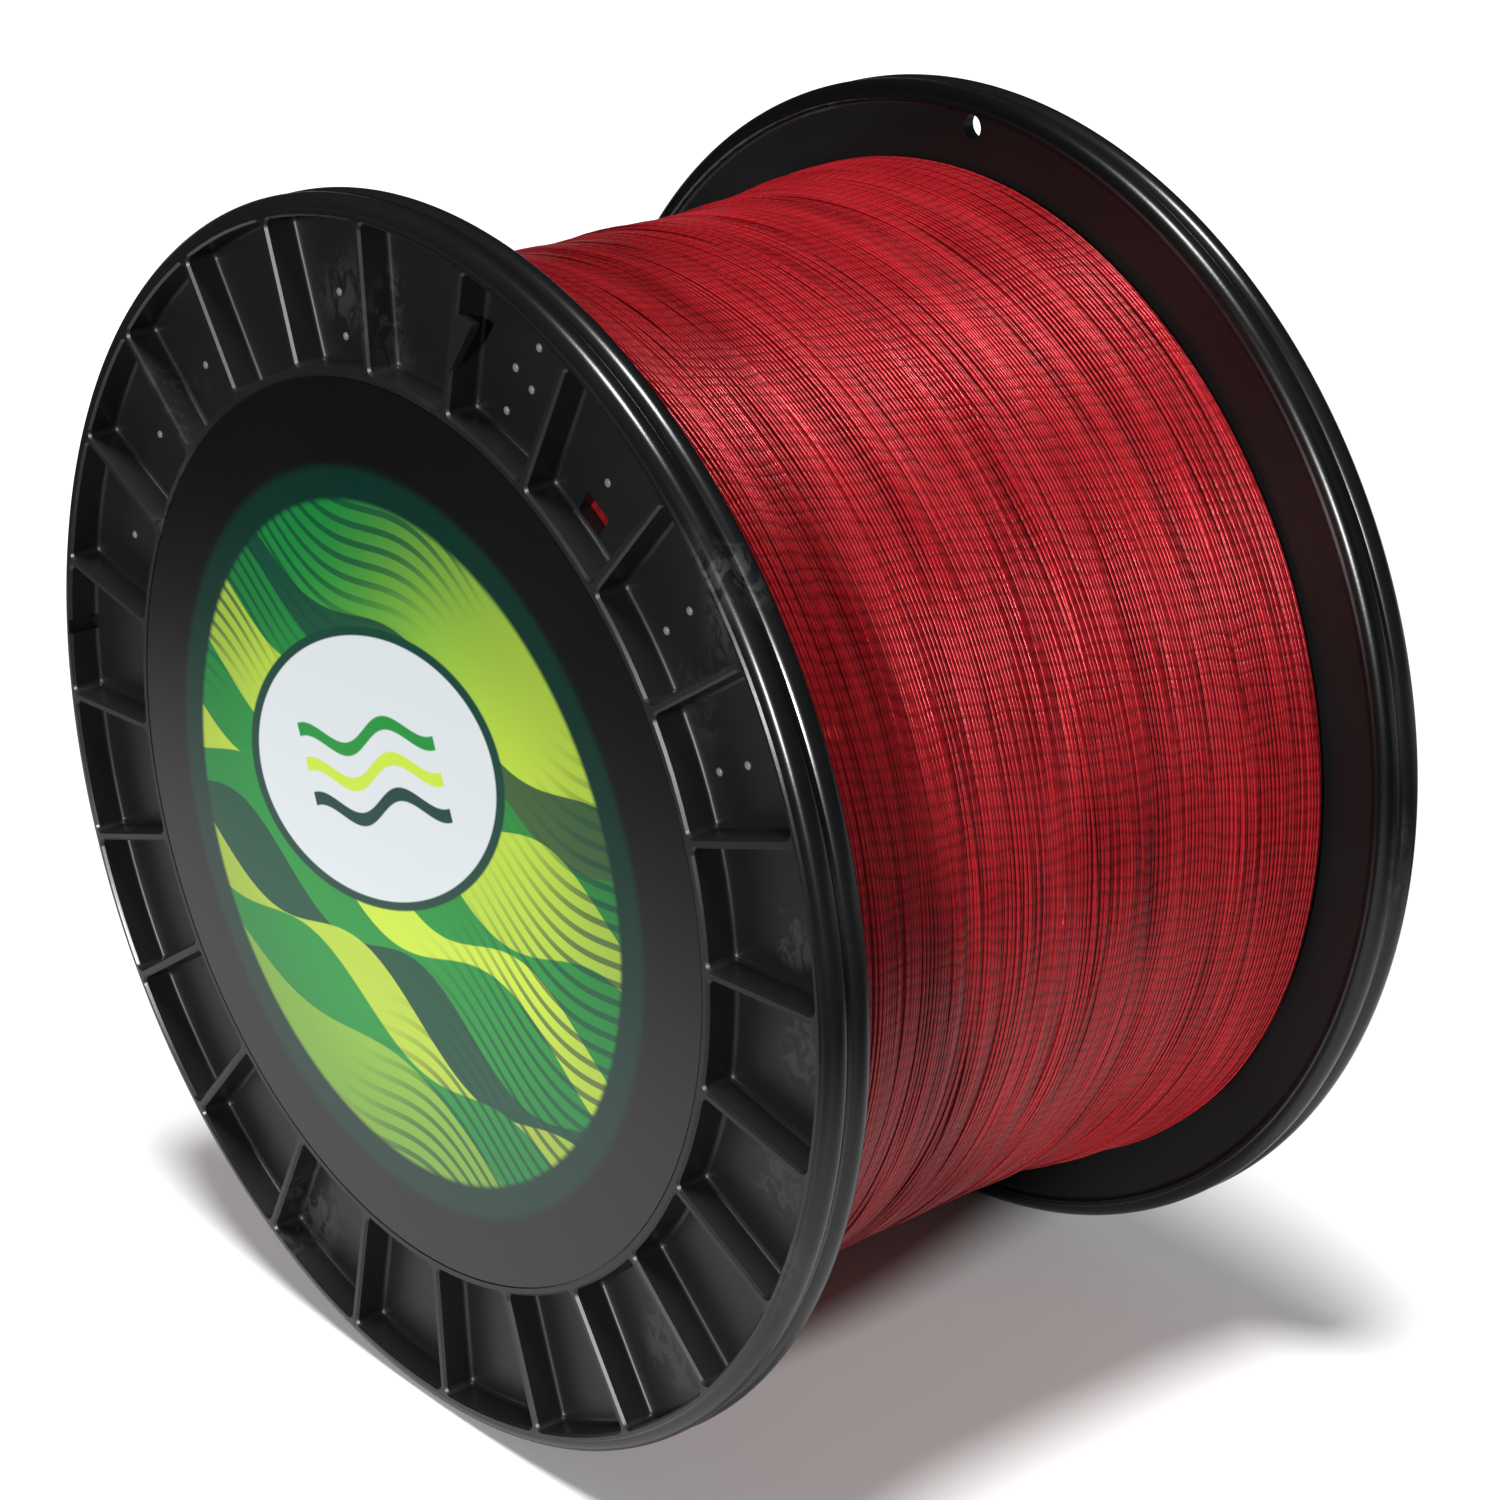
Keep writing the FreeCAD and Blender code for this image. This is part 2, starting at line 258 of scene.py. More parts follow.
# Rise of the winding towards the flanges: where it starts, its length, its mean height, and how
# much that changes in waves round the spool, with their number and turn in degrees
SWELL_START = 13.0 * MM
SWELL_LENGTH = 20.0 * MM
SWELL_HEIGHT = 1.85 * MM
SWELL_CHANGE = 0.42 * MM
SWELL_WAVES = 3
SWELL_TURN = 28.0

# Ends of a run of turns: the steps over which they dive, and how deep, in diameters of the line
END_STEPS = 12.0
END_DIVE = 1.4

# Layers of turns: the room at the pack's ends, the under layer's depth and its painted shade, and
# the wraps
# that lie across: how proud they are, how far they may sink away and where, and the second pitch
END_ROOM = 0.25 * MM
UNDER_DEPTH = 0.24 * MM
UNDER_PAINTED_SHADE = 0.72
ACROSS_PROUD = 0.16 * MM
ACROSS_SINK = 0.6 * MM
COVER_CONTRAST = 1.6
COVER_SHARE = 0.3
SECOND_ACROSS = -1.3

# Ring of the inner layers: its gap to the barrel, its depth, its share of the rise and its steps
CORE_GAP = 0.05 * MM
CORE_DEPTH = 1.35 * MM
CORE_SWELL = 0.75
CORE_STEPS = 48
CORE_ROUND = 180

# Spun rings: the distance at which vertices merge, and the angle of an edge that stays sharp
MERGE_DISTANCE = 0.002 * MM
SHARP_ANGLE = 32.0

# Where reflections see the floor pale and not dark: near a middle beside the spool, and behind it.
# Each pair says where the floor is dark and where it is pale.
PALE_MIDDLE = -40.0 * MM
PALE_ACROSS = (260.0 * MM, 110.0 * MM)
PALE_ALONG = (165.0 * MM, 85.0 * MM)
PALE_BEHIND = (120.0 * MM, 420.0 * MM)
BEHIND_SHARE = 0.5
PALE_SHADE = 0.68
DARK_FLOOR = (0.02, 0.02, 0.02)

# Lights: the way to each one and its width in degrees
OVERHEAD_WAY = (0.07, -0.16, 0.98)
OVERHEAD_WIDTH = 15.0
SIDE_WAY = (0.42, -0.87, 0.25)
SIDE_WIDTH = 6.0

# The photograph's viewpoint: the camera's place, the ways ahead and to its right, and its lens
CAMERA_PLACE = (0.2855, -0.2365, 0.1555)
CAMERA_AHEAD = (-0.7022, 0.5963, -0.3891)
CAMERA_RIGHT = (0.6473, 0.7623, 0.0)
CAMERA_LENS = 92.78
CAMERA_SENSOR = 36.0
CAMERA_NEAR = 0.01


class SpoolLineSettings(bpy.types.PropertyGroup):
    """Sizes and colours of the wound braid."""
    diameter: bpy.props.FloatProperty(
        name="Diameter", description="Width of the braided line",
        default=0.41 * MM, subtype="DISTANCE", unit="LENGTH")
    pitch: bpy.props.FloatProperty(
        name="Pitch", description="Spacing of the turns along the spool",
        default=0.42 * MM, subtype="DISTANCE", unit="LENGTH")
    flatness: bpy.props.FloatProperty(
        name="Flatness", description="Thickness of the wound line over its width", default=0.6)
    steps: bpy.props.IntProperty(
        name="Steps", description="Divisions of one turn", default=144)
    sides: bpy.props.IntProperty(
        name="Sides", description="Sides of the line's section", default=6)
    seed: bpy.props.IntProperty(
        name="Seed", description="Start of the winding's unevenness", default=11)
    wrap_pitch: bpy.props.FloatProperty(
        name="Wrap pitch", description="Pitch of the turns that lie across",
        default=7.4 * MM, subtype="DISTANCE", unit="LENGTH")
    # The deep colour stands for the line's darker tone and for painted shade in the grooves, the
    # plait's valleys and the under layer; the bright colour for its lighter tone and painted light
    # on the plait's crests
    deep: bpy.props.FloatVectorProperty(
        name="Deep colour", description="Colour in the grooves of the winding",
        size=3, subtype="COLOR", default=(0.085, 0.0018, 0.0035))
    bright: bpy.props.FloatVectorProperty(
        name="Bright colour", description="Colour on top of the strands",
        size=3, subtype="COLOR", default=(0.48, 0.0145, 0.022))


class SpoolPlasticSettings(bpy.types.PropertyGroup):
    """Finish of the moulded flanges and of the tubes."""
    colour: bpy.props.FloatVectorProperty(
        name="Colour", description="Colour of the moulded plastic",
        size=3, subtype="COLOR", default=(0.0042, 0.0045, 0.0048))
    dust: bpy.props.FloatVectorProperty(
        name="Scuff colour", description="Colour of scuffs and dust",
        size=3, subtype="COLOR", default=(0.095, 0.1, 0.1))
    pip_radius: bpy.props.FloatProperty(
        name="Pip radius", description="Radius of the ejector pips",
        default=0.42 * MM, subtype="DISTANCE", unit="LENGTH")
    pip_height: bpy.props.FloatProperty(
        name="Pip height", description="Height of the ejector pips",
        default=0.22 * MM, subtype="DISTANCE", unit="LENGTH")


class SpoolLabelSettings(bpy.types.PropertyGroup):
    """Colours of the printed label."""
    lime: bpy.props.FloatVectorProperty(
        name="Lime", description="Lightest green of the print",
        size=3, subtype="COLOR", default=(0.5, 0.66, 0.05))
    green: bpy.props.FloatVectorProperty(
        name="Green", description="Main green of the print",
        size=3, subtype="COLOR", default=(0.009, 0.24, 0.034))
    teal: bpy.props.FloatVectorProperty(
        name="Teal", description="Dark green at the print's edge",
        size=3, subtype="COLOR", default=(0.001, 0.043, 0.028))
    paper: bpy.props.FloatVectorProperty(
        name="Paper", description="White of the oval",
        size=3, subtype="COLOR", default=(0.6, 0.64, 0.66))
    border: bpy.props.FloatVectorProperty(
        name="Border", description="Near-black border",
        size=3, subtype="COLOR", default=(0.0025, 0.0025, 0.0025))


class SpoolStageSettings(bpy.types.PropertyGroup):
    """Floor and lights."""
    floor: bpy.props.FloatVectorProperty(
        name="Floor", description="Colour of the floor",
        size=3, subtype="COLOR", default=(0.93, 0.93, 0.93))
    floor_size: bpy.props.FloatProperty(
        name="Floor size", description="Side of the floor",
        default=9.0, subtype="DISTANCE", unit="LENGTH")
    overhead: bpy.props.FloatProperty(
        name="Overhead light", description="Strength of the light above", default=3.4)
    side: bpy.props.FloatProperty(
        name="Side light", description="Strength of the light beside the camera", default=3.3)
    room: bpy.props.FloatProperty(
        name="Room light", description="Strength of the light all round", default=0.1)
    dark_room: bpy.props.FloatProperty(
        name="Dark room", description="Strength of the room in reflections", default=0.015)


def settings(name):
    """The spool's settings of one kind, from the scene."""
    return getattr(bpy.context.scene, "spool_" + name)


# Selection and modelling helpers

def clear_selection():
    """Leave edit mode and deselect all, because operators act on all that is selected."""
    if bpy.context.object and bpy.context.object.mode != "OBJECT":
        bpy.ops.object.mode_set(mode="OBJECT")
    bpy.ops.object.select_all(action="DESELECT")


def choose(obj):
    """Select one object alone and make it active."""
    clear_selection()
    obj.select_set(True)
    bpy.context.view_layer.objects.active = obj


def named(name):
    """Name the object just made, and its mesh."""
    obj = bpy.context.object
    obj.name = name
    obj.data.name = name
    return obj


def settle(obj):
    """Put the object's place, turn and scale into its mesh."""
    choose(obj)
    bpy.ops.object.transform_apply(location=True, rotation=True, scale=True)


def apply_modifiers(obj):
    """Apply the object's modifiers in their order."""
    choose(obj)
    for modifier in list(obj.modifiers):
        bpy.ops.object.modifier_apply(modifier=modifier.name)


def dress(obj, material):
    """Give an object one material in place of those it has."""
    obj.data.materials.clear()
    obj.data.materials.append(material)


def finish_piece(obj, slot, material, *nodes):
    """Give a new piece its material and body, and hide the solids that it stands for. Its slot is
    not used.
    """
    dress(obj, material)
    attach(obj, "root")
    if nodes:
        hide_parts(*nodes)


def joined(pieces, name):
    """Join objects into one, under one name."""
    clear_selection()
    for obj in pieces:
        obj.select_set(True)
    bpy.context.view_layer.objects.active = pieces[0]
    bpy.ops.object.join()
    obj = named(name)
    settle(obj)
    return obj


def on_flange(facing, radius, turn, depth):
    """Point at a depth behind the outer face of the front (-1) or the rear (1) flange."""
    angle = turn if facing < 0 else 180.0 - turn + REAR_TURN
    way = math.radians(angle)
    return Vector((radius * math.cos(way), facing * (HALF_WIDTH - depth), radius * math.sin(way)))


def move_vertices(obj, places):
    """Put the mesh's vertices at new places."""
    obj.data.vertices.foreach_set("co", np.ascontiguousarray(places, np.float32).ravel())
    obj.data.update()


def spun(name, profile, steps):
    """Closed ring about the spool's axis, spun from a closed profile of radii and places on it."""
    clear_selection()
    bpy.ops.mesh.primitive_circle_add(vertices=len(profile), radius=1.0)
    obj = named(name)
    move_vertices(obj, [(radius, y, 0.0) for radius, y in profile])
    bpy.ops.object.mode_set(mode="EDIT")
    bpy.ops.mesh.select_all(action="SELECT")
    bpy.ops.mesh.spin(steps=steps, angle=2 * math.pi, center=(0, 0, 0), axis=(0, 1, 0))
    bpy.ops.mesh.select_all(action="SELECT")
    bpy.ops.mesh.remove_doubles(threshold=MERGE_DISTANCE)
    bpy.ops.mesh.normals_make_consistent(inside=False)
    bpy.ops.object.mode_set(mode="OBJECT")
    choose(obj)
    bpy.ops.object.shade_smooth_by_angle(angle=math.radians(SHARP_ANGLE))
    return obj


# Shader maths

class Value:
    """A socket of a recipe, on which Python's operators add Math nodes."""

    def __init__(self, recipe, socket):
        self.recipe = recipe
        self.socket = socket

    def __add__(self, other):
        return self.recipe.function("ADD", self, other)

    def __radd__(self, other):
        return self.recipe.function("ADD", other, self)

    def __sub__(self, other):
        return self.recipe.function("SUBTRACT", self, other)

    def __rsub__(self, other):
        return self.recipe.function("SUBTRACT", other, self)

    def __mul__(self, other):
        return self.recipe.function("MULTIPLY", self, other)

    def __rmul__(self, other):
        return self.recipe.function("MULTIPLY", other, self)


class Recipe:
    """A material or world under construction, with the nodes that its look needs."""

    def __init__(self, block):
        self.block = block
        self.block.use_nodes = True
        self.tree = block.node_tree
        self.tree.nodes.clear()

    def node(self, kind, options=None, inputs=None, output=0):
        """Add a node, set its options first and then its sockets, and give back one output."""
        made = self.tree.nodes.new(kind)
        for key, value in (options or {}).items():
            setattr(made, key, value)
        for key, value in (inputs or {}).items():
            if isinstance(value, Value):
                self.tree.links.new(value.socket, made.inputs[key])
            else:
                made.inputs[key].default_value = value
        return Value(self, made.outputs[output]) if made.outputs else None

    def function(self, operation, *values):
        """A Math node of any operation."""
        return self.node("ShaderNodeMath", {"operation": operation}, dict(enumerate(values)))

    def distance(self, first, second):
        """Length of the way that goes so far in two directions at right angles."""
        return self.function("SQRT", first * first + second * second)

    def place(self):
        """The point in the object's own frame, and its X, Y and Z."""
        point = self.node("ShaderNodeTexCoord", output="Object")
        parts = [self.node("ShaderNodeSeparateXYZ", inputs={0: point}, output=axis)
                 for axis in "XYZ"]
        return (point, *parts)

    def step(self, value, low, high):
        """Smooth change from 0 at low to 1 at high, or back where low is the higher."""
        return self.node("ShaderNodeMapRange", {"interpolation_type": "SMOOTHSTEP"},
                         {"Value": value, "From Min": low, "From Max": high})

    def band(self, value, low, high, soft):
        """1 between low and high, falling to 0 over a soft edge."""
        return self.step(value, low - soft, low + soft) * self.step(value, high + soft, high - soft)

    def noise(self, point, scale, detail=2.0, roughness=0.5, distortion=0.0):
        """Noise from 0 to 1 about a half."""
        inputs = {"Vector": point, "Scale": scale, "Detail": detail, "Roughness": roughness,
                  "Distortion": distortion}
        return self.node("ShaderNodeTexNoise", inputs=inputs, output="Fac")

    def scaled(self, point, scale):
        """The point with each axis stretched, for a pattern with a direction."""
        return self.node("ShaderNodeVectorMath", {"operation": "MULTIPLY"}, {0: point, 1: scale})

    def mix(self, share, first, second):
        """Colour between two colours."""
        def colour(value):
            return value if isinstance(value, Value) else (*value[:3], 1.0)
        return self.node("ShaderNodeMix", {"data_type": "RGBA"},
                         {0: share, 6: colour(first), 7: colour(second)}, output=2)

    def bump(self, height, strength, distance):
        """Normal of a fine relief."""
        return self.node("ShaderNodeBump",
                         inputs={"Height": height, "Strength": strength, "Distance": distance})

    def surface(self, **inputs):
        """Close the material with its shader."""
        names = {key.replace("_", " ").title().replace("Ior", "IOR"): value
                 for key, value in inputs.items()}
        shader = self.node("ShaderNodeBsdfPrincipled", inputs=names)
        self.node("ShaderNodeOutputMaterial", inputs={"Surface": shader})
        return self.block


def new_finish(name):
    """Start a new material."""
    return Recipe(bpy.data.materials.new(name))


def shaded(colour, share):
    """A colour made darker or lighter."""
    return tuple(share * part for part in colour)


# Finishes

def moulded_black(name, facing):
    """Black moulded plastic: glossy rims, satin pocket floors, scuffs, fine unevenness, and painted
    shade on the inner faces towards the winding.
    """
    plastic = settings("plastic")
    make = new_finish(name)
    point, x, y, z = make.place()
    radius = make.distance(x, z)
    depth = HALF_WIDTH - y * facing
    floor = make.band(depth, POCKET_DEPTH, POCKET_DEPTH, FLOOR_SOFT)
    floor = floor * make.band(radius, HUB_RADIUS, RIM_INNER_RADIUS, POCKET_SOFT)
    inside = make.step(depth, WEB_INNER - INSIDE_SOFT[0], WEB_INNER - INSIDE_SOFT[1])
    rim = make.step(radius, RIM_INNER_RADIUS - RIM_SOFT[0], RIM_INNER_RADIUS + RIM_SOFT[1])
    grain = make.noise(point, PLASTIC_GRAIN, 3.0, 0.6)
    cloud = make.noise(point, PLASTIC_CLOUD, 3.0, 0.55)
    patches = make.step(make.noise(point, PLASTIC_PATCH), *PATCH_RANGE) * PATCH_SHARE
    for centre_x, centre_z, reach in SCUFFS if facing < 0 else ():
        gap = make.distance(x - centre_x * MM, z - centre_z * MM)
        patches = patches + make.step(gap, reach * MM, SCUFF_CORE * reach * MM) * floor
    streak = make.noise(make.scaled(point, PLASTIC_STREAK), 1.0, 4.0, 0.62, 1.2)
    scuffs = make.step(streak, *STREAK_RANGE) * make.function("MINIMUM", patches, 1.0)
    scuffs = scuffs * (1.0 - inside)
    colour = make.mix(cloud, plastic.colour, shaded(plastic.colour, 1.9))
    colour = make.mix(floor * 0.5, colour, shaded(plastic.colour, 2.5))
    # Painted shade: the inner faces, between the flanges, are made darker
    colour = make.mix(inside, colour, shaded(plastic.colour, 0.5))
    colour = make.mix(scuffs * 0.85, colour, plastic.dust)
    rough = 0.4 + floor * 0.06 + inside * 0.04 - rim * 0.17 + (cloud - 0.5) * 0.12 + scuffs * 0.2
    relief = grain * (0.35 + floor * 0.4 + inside * 0.3) + cloud * 1.2
    normal = make.bump(relief, *PLASTIC_RELIEF)
    return make.surface(base_color=colour, roughness=rough, normal=normal, ior=PLASTIC_IOR)


def pip_black(name):
    """Tops of the ejector pips, paler than the plastic round them in patchy noise."""
    plastic = settings("plastic")
    make = new_finish(name)
    point = make.place()[0]
    pip_noise = make.noise(point, PIP_NOISE_SCALE, 3.0, 0.6)
    # The pips' tops are paler than the plastic round them, by noise
    colour = make.mix(pip_noise, plastic.dust, shaded(plastic.dust, 2.6))
    normal = make.bump(pip_noise, *PIP_RELIEF)
    return make.surface(base_color=colour, roughness=0.3 + pip_noise * 0.15, normal=normal, ior=PIP_IOR)


def tube_black(name):
    """Matte black plastic of the arbor and barrel tubes, with faint rings round them."""
    plastic = settings("plastic")
    make = new_finish(name)
    point = make.place()[0]
    rings = make.noise(make.scaled(point, TUBE_RINGS), 1.0)
    cloud = make.noise(point, TUBE_CLOUD, 3.0)
    colour = make.mix(cloud, plastic.colour, shaded(plastic.colour, 3.0))
    rough = 0.42 + (cloud - 0.5) * 0.15
    normal = make.bump(rings + cloud * 0.5, *TUBE_RELIEF)
    return make.surface(base_color=colour, roughness=rough, normal=normal, ior=PLASTIC_IOR)


def braid(name, shade):
    """Crimson braid: strands that cross along the line, with painted shade where the winding dips
    and in the plait's valleys, painted light on the plait's crests, and matt where the winding
    dips. A shade below 1 paints the whole braid darker.
    """
    line = settings("line")
    make = new_finish(name)
    point, x, y, z = make.place()
    across = make.node("ShaderNodeAttribute", {"attribute_name": "across"}, output="Fac")
    groove = make.node("ShaderNodeAttribute", {"attribute_name": "groove"}, output="Fac")
    turn = make.function("ARCTAN2", z, x)
    drift = make.noise(point, LINE_DRIFT, 3.0, 0.6)
    plait = turn * PLAIT_ROUND + drift * PLAIT_DRIFT + y * PLAIT_ALONG
    slant = across * PLAIT_SLANT
    one_way = make.function("SINE", plait + slant)
    other_way = make.function("SINE", plait - slant)
    height = make.function("MAXIMUM", one_way, other_way) * 0.5 + 0.5
    fibres = make.noise(make.scaled(point, LINE_FIBRES), 1.0, 2.0, 0.6)
    dye = make.noise(make.scaled(point, LINE_DYE), 1.0, 3.0, 0.55)
    # Painted light and shade: the colour is lighter on the plait's crests and darker where the
    # winding dips; fibres and dye are the line's own uneven tone
    share = 0.56 + (height - 0.5) * 0.4 + (fibres - 0.5) * 0.3 + (dye - 0.5) * 0.85 - groove * 0.45
    share = make.function("MINIMUM", make.function("MAXIMUM", share, 0.0), 1.0)
    # A shade below 1 gives a darker copy of the braid, a painted shade
    colour = make.mix(share, shaded(line.deep, shade), shaded(line.bright, shade))
    rough = 0.34 + (fibres - 0.5) * 0.2 + (dye - 0.5) * 0.35 + groove * 0.15
    normal = make.bump(height + fibres * 0.4, *LINE_RELIEF)
    return make.surface(base_color=colour, roughness=rough, normal=normal, metallic=0.3,
                        ior=LINE_IOR)


def wave_picture(make, point, x, z):
    """The label's picture: green, lime and dark waves, with fine lines over two of its corners."""
    label = settings("label")
    across, up = GROUND_SLOPE
    drift = make.noise(point, FILM_TONE) * GROUND_DRIFT
    ground = make.step(x * across + z * up + drift, *GROUND_RANGE)
    picture = make.mix(ground, label.green, label.lime)
    for height, swing, count, phase, colour, share in WAVES:
        crest = make.function("SINE", x * count + phase) * (swing * MM) + height * MM
        below = make.step(z - crest + x * WAVE_SLOPE, PRINT_EDGE, -PRINT_EDGE)
        picture = make.mix(below * share, picture, getattr(label, colour))
    curve = make.function("SINE", x * FINE_WAVES + FINE_PHASE) * FINE_SWING
    lines = make.function("SINE", (z - curve + x * FINE_SLOPE) * FINE_COUNT)
    corners = 0.0
    for across, up, start, end in FINE_CORNERS:
        corners = corners + make.step(x * across + z * up, start * MM, end * MM)
    corners = make.function("MINIMUM", corners, 1.0)
    return make.mix(make.step(lines, *FINE_RANGE) * corners * FINE_SHARE, picture, label.teal)


def with_oval(make, picture, x, z):
    """The picture with its pale oval, which has a dark edge and three wavy strokes."""
    label = settings("label")
    cosine, sine = OVAL_TILT
    right = x - OVAL_X
    up = z - OVAL_Z
    u = right * cosine + up * sine
    v = up * cosine - right * sine
    oval = make.distance(u * (1 / OVAL_HALF[0]), v * (1 / OVAL_HALF[1]))
    picture = make.mix(make.step(oval, *OVAL_EDGE), picture, label.teal)
    picture = make.mix(make.step(oval, *OVAL_PAPER), picture, label.paper)
    for height, colour in STROKES:
        crest = make.function("SINE", u * STROKE_WAVES) * STROKE_SWING + height * MM
        stroke = make.band(v - crest, -STROKE_HALF_WIDTH, STROKE_HALF_WIDTH, PRINT_EDGE)
        stroke = stroke * make.band(u, -STROKE_HALF_LENGTH, STROKE_HALF_LENGTH, PRINT_EDGE)
        picture = make.mix(stroke, picture, getattr(label, colour))
    return picture


def printed_label(name):
    """Glossy printed film: a round picture of waves, a dark green ring and a black border."""
    label = settings("label")
    make = new_finish(name)
    point, x, _, z = make.place()
    x = x - PRINT_X
    z = z - PRINT_Z
    radius = make.distance(x, z)
    picture = wave_picture(make, point, x, z)
    margin = make.step(radius, *MARGIN_RANGE) * MARGIN_SHARE
    picture = with_oval(make, make.mix(margin, picture, label.teal), x, z)
    outside = make.step(radius, RING_RADIUS - 9 * PRINT_EDGE, RING_RADIUS + 5 * PRINT_EDGE)
    border = make.mix(outside, shaded(label.teal, RING_SHADE), label.border)
    beyond = make.step(radius, PICTURE_RADIUS - 6 * PRINT_EDGE, PICTURE_RADIUS + 2 * PRINT_EDGE)
    colour = make.mix(beyond, picture, border)
    rough = 0.2 + make.noise(point, FILM_GLOSS, 3.0) * 0.08
    ripple = make.noise(point, FILM_RIPPLE) + make.noise(point, FILM_GRAIN) * 0.15
    normal = make.bump(ripple, *FILM_RELIEF)
    return make.surface(base_color=colour, roughness=rough, normal=normal, ior=FILM_IOR)


def floor_finish(name):
    """Plain pale floor, which reflections see pale near the spool and behind it, and else dark."""
    stage = settings("stage")
    make = new_finish(name)
    _, x, y, _ = make.place()
    seen = make.node("ShaderNodeLightPath", output="Is Camera Ray")
    near = make.step(make.function("ABSOLUTE", x - PALE_MIDDLE), *PALE_ACROSS)
    near = near * make.step(make.function("ABSOLUTE", y), *PALE_ALONG)
    behind = make.step(y, *PALE_BEHIND) * BEHIND_SHARE
    pale = make.function("MAXIMUM", near, behind)
    reflected = make.mix(pale, DARK_FLOOR, shaded(stage.floor, PALE_SHADE))
    colour = make.mix(seen, reflected, stage.floor)
    return make.surface(base_color=colour, roughness=0.9, specular_ior_level=0.0)


def room_light(name):
    """The room: a dim even light, white where the camera sees it and dark in reflections."""
    stage = settings("stage")
    make = Recipe(bpy.data.worlds.new(name))
    glossy = make.node("ShaderNodeLightPath", output="Is Glossy Ray")
    seen = make.node("ShaderNodeLightPath", output="Is Camera Ray")
    lit = make.node("ShaderNodeMix",
                    inputs={"Factor": glossy, "A": stage.room, "B": stage.dark_room})
    strength = make.node("ShaderNodeMix", inputs={"Factor": seen, "A": lit, "B": 1.0})
    background = make.node("ShaderNodeBackground",
                           inputs={"Color": (1.0, 1.0, 1.0, 1.0), "Strength": strength})
    make.node("ShaderNodeOutputWorld", inputs={"Surface": background})
    return make.block


# Winding

def smooth(share):
    """The share from 0 to 1, levelled at both ends."""
    return share * share * (3 - 2 * share)


class Unevenness:
    """Smooth seeded noise over the winding, in place along the spool and turn about it."""

    def __init__(self, seed, cell, turn_cells, half):
        self.cell = cell
        self.half = half
        self.turn_cells = turn_cells
        rows = int(2 * half / cell) + 4
        self.grid = np.random.default_rng(seed).uniform(-1.0, 1.0, (rows, turn_cells))

    def at(self, y, turn):
        """Value between -1 and 1 at places y and turns in radians."""
        # Every place stays short of the last row, so that a row follows it
        row = np.clip((y + self.half) / self.cell + 1.0, 0.0, len(self.grid) - 2.001)
        column = np.mod(turn / (2 * math.pi), 1.0) * self.turn_cells
        i = row.astype(int)
        j = column.astype(int)
        a = smooth(row - i)
        b = smooth(column - j)
        here = j % self.turn_cells
        beside = (j + 1) % self.turn_cells
        low = self.grid[i, here] * (1 - b) + self.grid[i, beside] * b
        high = self.grid[i + 1, here] * (1 - b) + self.grid[i + 1, beside] * b
        return low * (1 - a) + high * a


def swell(y, turn):
    """How far the winding rises towards both flanges, unevenly round the spool."""
    share = np.clip((np.abs(y) - SWELL_START) / SWELL_LENGTH, 0.0, 1.0)
    waves = np.cos(SWELL_WAVES * (turn - math.radians(SWELL_TURN)))
    return (SWELL_HEIGHT - SWELL_CHANGE * waves) * smooth(share)


